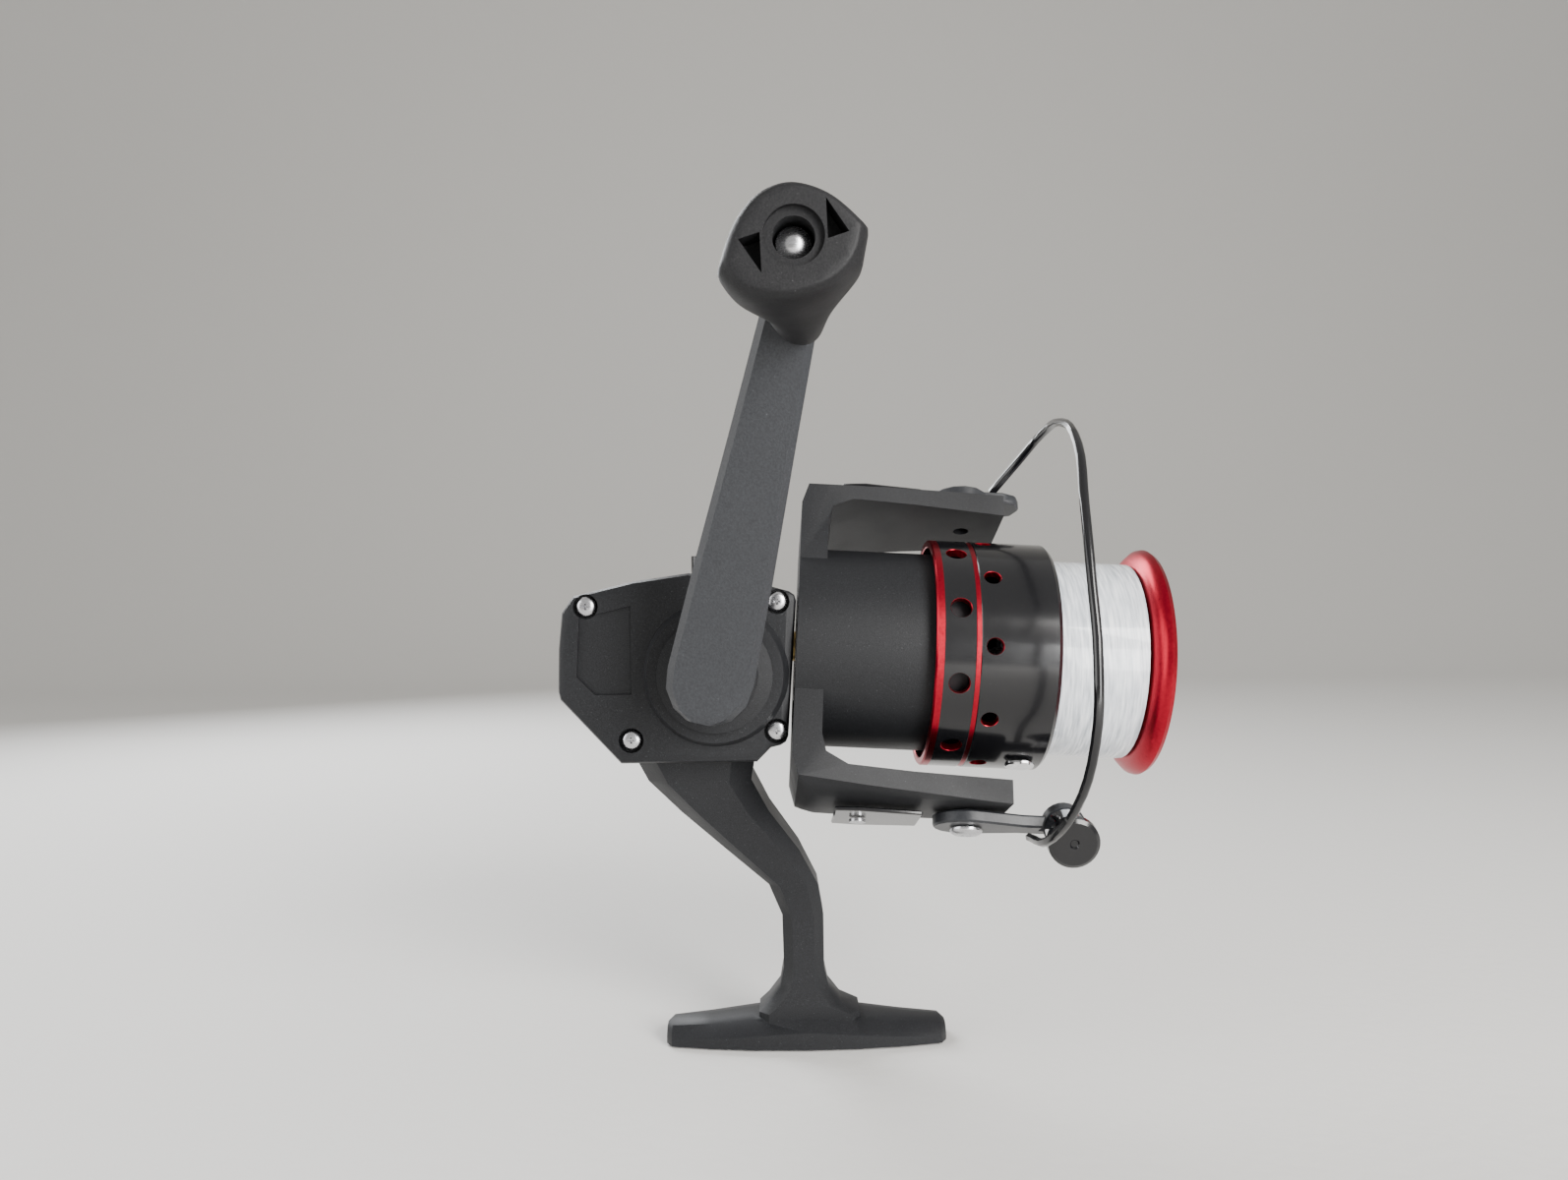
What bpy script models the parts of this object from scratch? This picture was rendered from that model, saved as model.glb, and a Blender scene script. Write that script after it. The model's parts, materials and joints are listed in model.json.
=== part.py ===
"""An open-face spinning reel, standing on the foot that a rod holds it by.

Metres, +Z up, +X along the rod, -Y towards the handle. The origin is the middle of the
foot's flat underside. Sizes below are in millimetres and are scaled by MM.
"""

import math

import bmesh
import bpy
from mathutils import Matrix, Vector

MM = 0.001
GAP = 0.35

GEAR_AXIS = (-17.07, 79.3)
SPOOL_OFFSET = 5.2
SPOOL_TILT = math.radians(3.4)
ROTOR_PHASE = math.radians(22)

BODY_BACK = 14.0
BODY_SPLIT = -13.0
COVER_FACE = -19.5
COVER_SCREWS = ((-42.7, 92.9), (-4.8, 93.4), (-34.0, 66.3), (-5.2, 67.8))
CAVITY_RADIUS = 13.3
SHAFT_RADIUS = 1.8
GEAR_SHAFT_RADIUS = 3.0
GEAR_TEETH, PINION_TEETH = 52, 10

CUP_RADIUS, CUP_BACK, CUP_FRONT = 21.0, 16.0, 50.0
ARM_INNER, ARM_OUTER, ARM_FRONT = 29.0, 34.2, 60.0
BAIL_PIVOT = 52.0
SKIRT_RADIUS, SKIRT_BACK, SKIRT_FRONT = 24.0, 43.1, 67.6
LIP_FRONT = 90.3
LINE_RADIUS = 20.7

HANDLE_REACH = 66.8
HANDLE_TURN = math.radians(76.4)
ARM_Y, ARM_SLOPE = -36.0, -0.2
KNOB_BASE, KNOB_END = -53.4, -88.5
KNOB_TURN = math.radians(18)

LOOKS = {
    "charcoal": ((0.022, 0.023, 0.025), 0.55, 0.0),
    "satin": ((0.035, 0.037, 0.041), 0.42, 0.1),
    "gloss": ((0.008, 0.008, 0.009), 0.12, 0.0),
    "rubber": ((0.012, 0.012, 0.013), 0.75, 0.0),
    "steel": ((0.55, 0.55, 0.57), 0.25, 1.0),
    "chrome": ((0.80, 0.80, 0.82), 0.08, 1.0),
    "brass": ((0.62, 0.44, 0.18), 0.32, 1.0),
    "zinc": ((0.40, 0.41, 0.43), 0.45, 1.0),
    "felt": ((0.16, 0.13, 0.09), 0.95, 0.0),
    "line": ((0.72, 0.75, 0.78), 0.22, 0.0),
}


def clear_scene():
    for old in list(bpy.data.objects):
        bpy.data.objects.remove(old, do_unlink=True)


def collection(name, hidden=False):
    made = bpy.data.collections.new(name)
    made.hide_render = hidden
    bpy.context.scene.collection.children.link(made)
    return made


clear_scene()
reel = collection("spinning_reel")
cutters = collection("cutters", hidden=True)


def empty(name, matrix, parent=None):
    made = bpy.data.objects.new(name, None)
    made.empty_display_size = 0.01
    reel.objects.link(made)
    made.parent = parent
    made.matrix_local = matrix
    return made


def at(x, y, z):
    return Matrix.Translation(Vector((x, y, z)) * MM)


def put(name, bm, look, parent):
    """A mesh object from bm, which is in millimetres. With no look it is a tool for a Boolean."""
    bmesh.ops.scale(bm, vec=(MM, MM, MM), verts=bm.verts)
    mesh = bpy.data.meshes.new(name)
    bm.to_mesh(mesh)
    bm.free()
    piece = bpy.data.objects.new(name, mesh)
    piece.parent = parent
    if look is None:
        cutters.objects.link(piece)
        piece.hide_render = True
        piece.display_type = "WIRE"
        return piece
    reel.objects.link(piece)
    coat(piece, look)
    return piece


def coat(piece, look):
    colour, roughness, metallic = LOOKS[look]
    made = bpy.data.materials.new(piece.name)
    made.use_nodes = True
    shader = made.node_tree.nodes["Principled BSDF"]
    shader.inputs["Base Color"].default_value = (*colour, 1)
    shader.inputs["Roughness"].default_value = roughness
    shader.inputs["Metallic"].default_value = metallic
    piece.data.materials.append(made)


def turned(name, profile, look, parent, steps=32, ring=False):
    """A turned piece about local Z. The profile is (radius, height), top to bottom on its outside."""
    bm = bmesh.new()
    points = [bm.verts.new((radius, 0, height)) for radius, height in profile]
    following = points[1:] + (points[:1] if ring else [])
    for pair in zip(points, following):
        bm.edges.new(pair)
    piece = put(name, bm, look, parent)
    screw = piece.modifiers.new("turn", "SCREW")
    screw.steps = screw.render_steps = steps
    screw.use_merge_vertices = True
    screw.merge_threshold = 0.00001
    return piece


def ring(name, inner, outer, low, high, look, parent, steps=32):
    profile = [(inner, high), (outer, high), (outer, low), (inner, low)]
    return turned(name, profile, look, parent, steps, ring=True)


def rod(name, radius, start, end, look, parent, sides=24, end_radius=None):
    """A round rod between two points."""
    start, end = Vector(start), Vector(end)
    turn = (end - start).to_track_quat("Z", "Y").to_matrix().to_4x4()
    bm = bmesh.new()
    bmesh.ops.create_cone(
        bm,
        cap_ends=True,
        segments=sides,
        radius1=radius,
        radius2=radius if end_radius is None else end_radius,
        depth=(end - start).length,
        matrix=Matrix.Translation((start + end) / 2) @ turn,
    )
    return put(name, bm, look, parent)


def block(name, low, high, look, parent):
    low, high = Vector(low), Vector(high)
    size = Matrix.Diagonal((*(high - low), 1))
    bm = bmesh.new()
    bmesh.ops.create_cube(bm, size=1, matrix=Matrix.Translation((low + high) / 2) @ size)
    return put(name, bm, look, parent)


def loft(name, rings, look, parent):
    """A solid through rings of points, with flat ends."""
    bm = bmesh.new()
    loops = []
    for points in rings:
        corners = [bm.verts.new(point) for point in points]
        loops.append([bm.edges.new(pair) for pair in zip(corners, corners[1:] + corners[:1])])
        if points is rings[0] or points is rings[-1]:
            bm.faces.new(corners)
    for first, second in zip(loops, loops[1:]):
        bmesh.ops.bridge_loops(bm, edges=first + second)
    bmesh.ops.recalc_face_normals(bm, faces=bm.faces)
    return put(name, bm, look, parent)


def prism(name, outline, low, high, look, parent, lay="XZ"):
    """An outline extruded along Y (lay XZ), along Z (lay XY) or along X (lay YZ)."""
    spots = {
        "XZ": lambda u, v, w: (u, w, v),
        "XY": lambda u, v, w: (u, v, w),
        "YZ": lambda u, v, w: (w, u, v),
    }
    rings = [[spots[lay](u, v, w) for u, v in outline] for w in (low, high)]
    return loft(name, rings, look, parent)


def bevel(piece, width, segments=1, angle=40):
    edge = piece.modifiers.new("edges", "BEVEL")
    edge.width = width * MM
    edge.segments = segments
    edge.limit_method = "ANGLE"
    edge.angle_limit = math.radians(angle)
    return piece


def boolean(piece, other, operation):
    step = piece.modifiers.new(other.name, "BOOLEAN")
    step.object = other
    step.operation = operation
    step.solver = "EXACT"


def cut(piece, *tools):
    for tool in tools:
        boolean(piece, tool, "DIFFERENCE")
    return piece


def join(piece, *tools):
    for tool in tools:
        boolean(piece, tool, "UNION")
    return piece


def circle(radius, count, centre=(0, 0), start=0.0, sweep=2 * math.pi):
    """Points round an arc, the last one left out when it closes."""
    steps = count if sweep == 2 * math.pi else count - 1
    return [
        (
            centre[0] + radius * math.cos(start + sweep * i / steps),
            centre[1] + radius * math.sin(start + sweep * i / steps),
        )
        for i in range(count)
    ]


def toothed(tip, root, teeth, turn=0.0):
    """A gear's outline, with flat-topped teeth."""
    points = []
    for tooth in range(teeth):
        for share, radius in ((-0.3, root), (0, tip)):
            angle = turn + 2 * math.pi * (tooth + share) / teeth
            points.append((radius * math.cos(angle), radius * math.sin(angle)))
    return points


def chamfered(half_width, half_height, chamfer):
    w, h, c = half_width, half_height, chamfer
    corner = [(w, h - c), (w - c, h)]
    left = [(-u, v) for u, v in reversed(corner)]
    return corner + left + [(-u, -v) for u, v in corner] + [(u, -v) for u, v in reversed(corner)]


def oval(half_width, half_height, count=20, power=2.5, turn=0.0):
    points = []
    for i in range(count):
        c, s = math.cos(2 * math.pi * i / count), math.sin(2 * math.pi * i / count)
        u = half_width * math.copysign(abs(c) ** (2 / power), c)
        v = half_height * math.copysign(abs(s) ** (2 / power), s)
        points.append((u * math.cos(turn) - v * math.sin(turn), u * math.sin(turn) + v * math.cos(turn)))
    return points


# Frames. The spool's local Z runs forward along the spool, X up and Y to the handle side.
TILT = Matrix(
    (
        (math.sin(SPOOL_TILT), 0, math.cos(SPOOL_TILT), 0),
        (0, -1, 0, 0),
        (math.cos(SPOOL_TILT), 0, -math.sin(SPOOL_TILT), 0),
        (0, 0, 0, 1),
    )
)
gear_x, gear_z = GEAR_AXIS
arm_along = Vector((math.cos(HANDLE_TURN), 0, math.sin(HANDLE_TURN)))
arm_across = Vector((math.sin(HANDLE_TURN), 0, -math.cos(HANDLE_TURN)))

gear_axis = empty("gear_axis", at(gear_x, 0, gear_z))
knob_axis = empty("knob_axis", Matrix.Translation(arm_along * HANDLE_REACH * MM), gear_axis)
crosswind_axis = empty("crosswind_axis", at(-30.5, 0, 80.3))
lever_axis = empty("lever_axis", at(-12, 0, 0))
spool_axis = empty("spool_axis", at(gear_x, 0, gear_z + SPOOL_OFFSET) @ TILT)
rotor_axis = empty("rotor_axis", Matrix.Rotation(-ROTOR_PHASE, 4, "Z"), spool_axis)
bail_axis = empty("bail_axis", at(0, 0, BAIL_PIVOT), rotor_axis)
ROLLER_AT = Vector((-38, 3, 20))
ROLLER_LINE = Vector((-math.sin(math.radians(33)), math.cos(math.radians(33)), 0))
roller_turn = ROLLER_LINE.to_track_quat("Z", "X").to_matrix().to_4x4()
roller_axis = empty("roller_axis", Matrix.Translation(ROLLER_AT * MM) @ roller_turn, bail_axis)


def along_y(name):
    """A frame on the gear axis whose local Z points to the handle side, for turned pieces."""
    return empty(name, Matrix.Rotation(math.radians(90), 4, "X"), gear_axis)


handle_side = along_y("handle_side")

BODY_OUTLINE = (
    (-48.5, 76.1), (-48.3, 84.5), (-47.6, 91.7), (-45.3, 95.0), (-33.4, 97.8), (-22.3, 99.3),
    (-6.2, 96.5), (-0.9, 95.0), (-3.0, 65.2), (-6.4, 64.4), (-9.2, 61.6), (-36.2, 61.6), (-48.1, 74.4),
)


def foot():
    """The flat-bottomed foot: thin at its ends, thick and arched by the stem."""
    rings = []
    for x, half_width, side, top in (
        (-29.5, 3.2, 1.4, 3.2),
        (-28.3, 5.2, 1.5, 4.1),
        (-20, 6.8, 2.0, 4.7),
        (-11, 7.8, 2.8, 5.8),
        (0, 8.2, 3.6, 7.0),
        (11, 7.8, 2.8, 5.8),
        (20, 6.8, 2.0, 4.7),
        (28.5, 5.2, 1.5, 4.1),
        (29.7, 3.2, 1.4, 3.2),
    ):
        w = half_width
        arch = ((w, 0), (w, side), (0.62 * w, 0.9 * top), (0.2 * w, top))
        ends = [(y, z) for y, z in arch] + [(-y, z) for y, z in reversed(arch)]
        rings.append([(x, y, z) for y, z in ends])
    return loft("foot_shape", rings, None, None)


def stem():
    """The stem, from the foot's fillets up to the body."""
    rings = []
    for z, left, right, half_depth in (
        (3.0, -10.0, 11.8, 5.5),
        (6.6, -9.8, 11.4, 6.0),
        (8.4, -7.8, 7.4, 5.9),
        (11.6, -5.3, 4.9, 5.8),
        (16, -4.5, 4.0, 5.6),
        (27, -4.7, 4.0, 5.7),
        (33.6, -7.4, 2.9, 6.6),
        (41.2, -15.9, -1.0, 8.8),
        (49.7, -25.3, -7.2, 11.2),
        (56.4, -32.0, -10.7, 12.4),
        (63.5, -35.8, -9.6, 12.8),
    ):
        middle, half = (left + right) / 2, (right - left) / 2
        section = chamfered(half, half_depth, 0.36 * half_depth)
        rings.append([(middle + u, v, z) for u, v in section])
    return loft("stem_shape", rings, None, None)


def body_housing():
    shell = bevel(prism("body_housing", BODY_OUTLINE, BODY_SPLIT, BODY_BACK, "charcoal", None), 1.6, 2, 60)
    boss = rod("back_boss", 10.5, (gear_x, 12, gear_z), (gear_x, 17.5, gear_z), None, None, 32, 9.0)
    join(shell, foot(), stem(), boss)
    cut(
        shell,
        rod("gear_room", CAVITY_RADIUS, (gear_x, -13.5, gear_z), (gear_x, 11.5, gear_z), None, None, 40),
        block("slider_room", (-42, -13.5, 72.8), (-18, 11.5, 90.0), None, None),
        rod("back_bearing_room", 6.3, (gear_x, 10, gear_z), (gear_x, 15.5, gear_z), None, None, 24),
        rod("back_shaft_room", 2.3, (gear_x, 15, gear_z), (gear_x, 18, gear_z), None, None, 16),
        rod("pinion_room", 4.7, (0, 0, 0), (0, 0, 13.5), None, spool_axis, 24),
        rod("pinion_bearing_room", 6.75, (0, 0, 12.6), (0, 0, 17), None, spool_axis, 24),
        rod("lever_room", 1.6, (0, 0, 93.5), (0, 0, 101), None, lever_axis, 12),
    )
    for i, (x, z) in enumerate(COVER_SCREWS, 1):
        cut(shell, rod(f"housing_screw_room_{i}", 1.45, (x, -13.5, z), (x, -6, z), None, None, 10))
    return shell


def side_cover():
    front = BODY_SPLIT - GAP
    plate = bevel(prism("side_cover", BODY_OUTLINE, COVER_FACE, front, "charcoal", None), 1.5, 2, 60)
    steps = ((0, 22.2), (13.4, 22.2), (14.5, 19.2), (14.5, 15), (0, 15))
    join(plate, turned("cover_boss", steps, None, handle_side, 40))
    panel = ((-44.6, 79), (-44.0, 90.6), (-33.8, 93.0), (-33.8, 75.4), (-41, 75.4))
    cut(
        plate,
        prism("panel_recess", panel, COVER_FACE - 1, COVER_FACE + 0.7, None, None),
        rod("cover_bearing_room", 6.3, (gear_x, -17.5, gear_z), (gear_x, -12, gear_z), None, None, 24),
        rod("cover_shaft_room", 3.4, (gear_x, -24, gear_z), (gear_x, -16, gear_z), None, None, 20),
        rod("crosswind_pin_room", 1.55, (-30.5, -16, 80.3), (-30.5, -12, 80.3), None, None, 12),
    )
    for i, (x, z) in enumerate(COVER_SCREWS, 1):
        cut(
            plate,
            rod(f"screw_head_room_{i}", 2.5, (x, -21, z), (x, -17.6, z), None, None, 16),
            rod(f"screw_room_{i}", 1.45, (x, -18, z), (x, -12, z), None, None, 10),
        )
        screw(f"cover_screw_{i}", Vector((x, -19.4, z)), Vector((0, 1, 0)), 2.1, 1.5, 1.1, 11.5, None)
    return plate


def screw(name, top, into, head_radius, head_height, shank_radius, length, parent):
    """A screw whose head's face is at top and whose shank runs along into, with a cross recess."""
    end = top + into * length
    made = rod(name, head_radius, top, top + into * head_height, "steel", parent, 16)
    join(made, rod(name + "_shank", shank_radius, top + into * head_height / 2, end, None, parent, 10))
    side = into.orthogonal().normalized()
    for i, arm in enumerate((side, into.cross(side))):
        reach, width = arm * 0.62 * head_radius, into.cross(arm) * 0.16 * head_radius
        rings = [
            [top + into * d + k * reach + j * width for k, j in ((1, 1), (-1, 1), (-1, -1), (1, -1))]
            for d in (-0.3, 0.45 * head_height)
        ]
        cut(made, loft(f"{name}_slot_{i}", rings, None, parent))
    return made


def fixed_pieces():
    body_housing()
    side_cover()
    ring("gear_bearing_right", 3.35, 5.95, 13.7, 17.2, "steel", handle_side)
    ring("gear_bearing_left", 3.35, 5.95, -15.2, -11.8, "steel", handle_side)
    ring("pinion_bearing", 3.55, 6.4, 12.95, 15.1, "steel", spool_axis)
    ring("clutch_housing", 7.6, 11.8, 15.95, 25.5, "steel", spool_axis)
    rod("crosswind_pin", 1.2, (0, -15.6, 0), (0, -6.9, 0), "steel", crosswind_axis, 12)
    lever = rod("anti_reverse_lever", 3.0, (0, 0, 99.6), (0, 0, 101.6), "gloss", lever_axis, 20)
    join(
        lever,
        block("lever_tongue", (-10, -1.6, 99.9), (0, 1.6, 101.3), None, lever_axis),
        rod("lever_grip", 1.6, (-9.6, 0, 99.8), (-9.6, 0, 103.2), None, lever_axis, 12),
        rod("lever_stem", 1.2, (0, 0, 94.5), (0, 0, 100), None, lever_axis, 12),
    )


def drive_train():
    """The gear, its shaft, the handle and the knob's post, which turn together."""
    gear = ring("drive_gear", 2.05, GEAR_SHAFT_RADIUS, -15.4, 21.8, "zinc", handle_side, 24)
    for name, tip, root, teeth, low, high in (
        ("face_gear", 12.5, 11.7, GEAR_TEETH, 4.4, 7.4),
        ("crosswind_drive", 6.2, 5.4, 14, -10, -7),
    ):
        wheel = prism(name, toothed(tip, root, teeth), low, high, None, gear_axis)
        join(gear, cut(wheel, rod(name + "_eye", 2.5, (0, -11, 0), (0, 9, 0), None, gear_axis, 24)))
    rod("handle_shaft", 1.7, (0, -32.8, 0), (0, 17.6, 0), "steel", gear_axis, 20)
    collar = [(2.1, 32.7), (7.9, 32.7), (8.5, 32.1), (8.5, 24.4), (11.3, 24.0), (11.3, 22.5), (3.4, 22.5)]
    turned("handle_collar", collar + [(3.4, 24), (2.1, 24)], "charcoal", handle_side, 28, ring=True)
    cap = [(0, -18.0), (8.2, -18.0), (8.2, -20.5), (7.2, -23.0), (4.5, -24.6), (0, -25.0)]
    turned("screw_cap", cap, "charcoal", handle_side, 32)
    handle_arm()
    rod("knob_post", 2.6, (0, -53.0, 0), (0, -83, 0), "steel", knob_axis, 20)
    dome = [(0, 85.6), (1.4, 85.3), (2.5, 84.4), (2.6, 83.4), (0, 83.4)]
    turned("knob_screw", dome, "steel", knob_side(), 20)


def knob_side():
    return empty("knob_side", Matrix.Rotation(math.radians(90), 4, "X"), knob_axis)


def handle_arm():
    rings = []
    for u, half_width, half_thick in (
        (-7.9, 2.6, 2.4),
        (-6.2, 5.4, 3.0),
        (-3, 7.5, 3.0),
        (1, 8.0, 3.0),
        (20, 7.2, 3.0),
        (45, 5.9, 2.8),
        (HANDLE_REACH - 2, 5.0, 2.7),
        (HANDLE_REACH + 3, 3.9, 2.7),
        (HANDLE_REACH + 5, 1.6, 2.5),
    ):
        middle = arm_along * u + Vector((0, ARM_Y + ARM_SLOPE * max(u, 0), 0))
        section = chamfered(half_width, half_thick, min(1.3, 0.4 * half_width))
        rings.append([middle + arm_across * a + Vector((0, b, 0)) for a, b in section])
    return loft("handle_arm", rings, "satin", gear_axis)


def handle_knob():
    rings = []
    for y, half_wide, half_high in (
        (KNOB_BASE, 5.3, 9.2),
        (-58, 5.6, 9.8),
        (-66, 7.4, 10.0),
        (-76, 11.3, 10.0),
        (-83, 12.2, 10.2),
        (-86.8, 11.7, 9.8),
        (KNOB_END, 10.2, 8.4),
    ):
        rings.append([(x, y, z) for x, z in oval(half_wide, half_high, turn=KNOB_TURN)])
    knob = loft("handle_knob", rings, "rubber", knob_axis)
    recess = [[(x, y, z) for x, z in oval(8, 6.2, turn=KNOB_TURN)] for y in (KNOB_END - 1, KNOB_END + 2.4)]
    rim = rod("knob_ring", 4.3, (0, -85, 0), (0, KNOB_END + 0.6, 0), None, knob_axis, 24)
    cut(knob, loft("knob_recess", recess, None, knob_axis))
    join(knob, rim)
    return cut(knob, rod("knob_bore", 3.0, (0, -90, 0), (0, -52, 0), None, knob_axis, 20))


def crosswind_gear():
    wheel = prism("crosswind_gear", toothed(7.0, 6.2, 16, math.pi / 16), -10, -7.3, "zinc", crosswind_axis)
    join(wheel, rod("eccentric_pin", 1.2, (4.2, -8, 0), (4.2, -4.5, 0), None, crosswind_axis, 12))
    return cut(wheel, rod("crosswind_eye", 1.55, (0, -11, 0), (0, -6, 0), None, crosswind_axis, 14))


def rotor():
    """The cup with its two arms, which widen towards the back and stay inside one radius."""
    cup = rod("rotor", CUP_RADIUS, (0, 0, CUP_BACK), (0, 0, CUP_FRONT), "charcoal", rotor_axis, 48)
    half = [(ARM_INNER, ARM_FRONT), (ARM_INNER, 40), (ARM_INNER - 0.4, 27), (ARM_INNER - 2.6, 22.6)]
    half += [(ARM_INNER - 6, 21.7)]
    outer = [(27, CUP_BACK), (31.5, 17.4), (33.8, 21.5), (ARM_OUTER, 27), (ARM_OUTER, 40)]
    outer += [(ARM_OUTER, 50), (ARM_OUTER - 0.4, ARM_FRONT)]
    outline = half + [(-x, s) for x, s in reversed(half)]
    outline += [(-x, s) for x, s in reversed(outer)] + outer
    yoke = prism("yoke", outline, -1, 1, None, rotor_axis)
    for vertex in yoke.data.vertices:
        ahead = min(max((vertex.co.z / MM - 22) / (ARM_FRONT - 22), 0), 1)
        vertex.co.y *= 15.5 - 6.5 * ahead
    boolean(yoke, rod("rotor_envelope", 35.0, (0, 0, 10), (0, 0, 70), None, rotor_axis, 64), "INTERSECT")
    join(cup, yoke)
    return cut(
        cup,
        rod("cup_room", 19.0, (0, 0, 29.3), (0, 0, 55), None, rotor_axis, 40),
        rod("clutch_room", 12.6, (0, 0, 14), (0, 0, 26.3), None, rotor_axis, 32),
        rod("rotor_eye", 3.5, (0, 0, 20), (0, 0, 35), None, rotor_axis, 20),
        rod("pivot_room", 1.7, (-40, 0, BAIL_PIVOT), (40, 0, BAIL_PIVOT), None, rotor_axis, 14),
    )


def rotor_pieces():
    rotor()
    rings = [
        [(x, y, s) for x, y in toothed(3.9, 3.1, PINION_TEETH, turn)]
        for s, turn in ((4, 0), (6.9, 0.45), (9.7, 0.9), (12.5, 1.35))
    ]
    pinion = loft("pinion_gear", rings, "brass", rotor_axis)
    join(pinion, rod("pinion_neck", 3.2, (0, 0, 12), (0, 0, 33.6), None, rotor_axis, 20))
    cut(pinion, rod("pinion_bore", SHAFT_RADIUS + GAP, (0, 0, 0), (0, 0, 40), None, rotor_axis, 16))
    ring("clutch_sleeve", 3.55, 7.2, 15.95, 25.6, "steel", rotor_axis)
    nut = prism("rotor_nut", circle(6.2, 6), 29.7, 33.2, "brass", rotor_axis, "XY")
    cut(nut, rod("nut_bore", 3.5, (0, 0, 28), (0, 0, 35), None, rotor_axis, 20))
    for side, name in ((1, "holder_arm_cover"), (-1, "roller_arm_cover")):
        low, high = sorted((side * 35.35, side * 36.2))
        plate = [(-7, 25), (-7.6, 30), (-6, 42.5), (6, 42.5), (7.6, 30), (7, 25)]
        bevel(prism(name, plate, low, high, "gloss", rotor_axis, "YZ"), 0.25)
        head = ((side * 36.5, 0, 30), (side * 37.1, 0, 30))
        rod(f"{name}_screw", 1.7, *head, "steel", rotor_axis, 14)


def bail():
    """The bail, drawn from its pivots: the arm with the line roller, the wire and the holder."""
    for side, name, reach in ((-1, "bail_arm", 20), (1, "bail_holder", 9)):
        low, high = sorted((side * 34.7, side * 37.2))
        narrow = 3.6 if side < 0 else 4.2
        outline = circle(6.8, 11, (0, 0), math.radians(25), math.radians(-230))
        outline += [(-narrow, 0.55 * reach)]
        outline += circle(narrow, 5, (0, reach), math.pi, -math.pi)
        outline += [(narrow, 0.55 * reach)]
        plate = bevel(prism(name, outline, low, high, "satin", bail_axis, "YZ"), 0.4)
        cut(plate, rod(name + "_eye", 1.7, (side * 30, 0, 0), (side * 40, 0, 0), None, bail_axis, 14))
        top = Vector((side * 38.9, 0, 0))
        screw(f"{name}_screw", top, Vector((-side, 0, 0)), 3.3, 1.35, 1.35, 8.5, bail_axis)
        if side < 0:
            join(plate, rod("roller_pad", 4.4, (0, 0, -5.6), (0, 0, -3.1), None, roller_axis, 24))
            cut(plate, rod("roller_room", 5.5, (0, 0, -3.05), (0, 0, 8), None, roller_axis, 24))
    rod("roller_post", 1.3, (0, 0, -2.9), (0, 0, 2.9), "steel", roller_axis, 16)
    groove = [(1.65, 2.7), (4.1, 2.7), (3.3, 1.2), (3.0, 0), (3.3, -1.2), (4.1, -2.7), (1.65, -2.7)]
    turned("line_roller", groove, "chrome", roller_axis, 32, ring=True)
    cap = [(0, 5.0), (0.7, 5.0), (1.0, 5.35), (4.4, 5.4), (5.1, 4.9), (5.2, 3.2), (0, 3.2)]
    turned("roller_cap", cap, "gloss", roller_axis, 32)
    wire()


def wire():
    path = (
        (38.6, 1, 7), (43.6, 7, 12), (45.0, 17, 15), (41.0, 29, 16), (30.0, 39.6, 16.2), (15.0, 43.2, 15.7),
        (0, 43.9, 15.9), (-15, 42.4, 16.6), (-28, 36.2, 17), (-37.5, 24.5, 16), (-41.3, 12, 13.6), (-38.7, 1, 12.6),
    )
    curve = bpy.data.curves.new("bail_wire", "CURVE")
    curve.dimensions = "3D"
    curve.resolution_u = 4
    curve.bevel_depth = 0.9 * MM
    curve.bevel_resolution = 1
    curve.use_fill_caps = True
    spline = curve.splines.new("BEZIER")
    spline.bezier_points.add(len(path) - 1)
    for knot, point in zip(spline.bezier_points, path):
        knot.co = Vector(point) * MM
        knot.handle_left_type = knot.handle_right_type = "AUTO"
    made = bpy.data.objects.new("bail_wire", curve)
    reel.objects.link(made)
    made.parent = bail_axis
    coat(made, "gloss")


def shaft_pieces():
    rod("main_shaft", SHAFT_RADIUS, (0, 0, -7.8), (0, 0, 91.5), "steel", spool_axis, 20)
    slider = bevel(block("slider_block", (-5, -3.5, -8), (3.4, 4, -3.5), "zinc", spool_axis), 0.4)
    cut(slider, rod("slider_bore", SHAFT_RADIUS + GAP, (0, 0, -10), (0, 0, 0), None, spool_axis, 16))
    rod("slider_screw", 2.6, (0, 0, -9.6), (0, 0, -8.3), "steel", spool_axis, 16)


def spool():
    bore = SHAFT_RADIUS + 0.4
    profile = [
        (11.0, LIP_FRONT - 1.4), (18.5, LIP_FRONT - 1.2), (21.5, LIP_FRONT), (23.4, LIP_FRONT - 0.2),
        (SKIRT_RADIUS, LIP_FRONT - 1.3), (23.6, 87.9), (21.4, 86.2), (16, 86.0), (16, 68.0), (22.6, 68.0),
        (SKIRT_RADIUS, 67.0), (SKIRT_RADIUS, SKIRT_BACK), (22.4, SKIRT_BACK), (22.4, 63.4), (20, 65.4),
        (8, 65.4), (8, 64.4), (bore, 64.4), (bore, 80.0), (11.0, 80.0),
    ]
    made = turned("spool", profile, "gloss", spool_axis, 40, ring=True)
    for row, (s, radius, turn) in enumerate(((47.9, 2.5, 11.0), (54.5, 2.1, 29.0))):
        for i in range(10):
            angle = math.radians(90 + turn + 36 * i)
            out = Vector((math.cos(angle), math.sin(angle), 0))
            ends = (out * 20 + Vector((0, 0, s)), out * 27 + Vector((0, 0, s)))
            cut(made, rod(f"skirt_hole_{row}_{i}", radius, *ends, None, spool_axis, 8))
    return made


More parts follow.
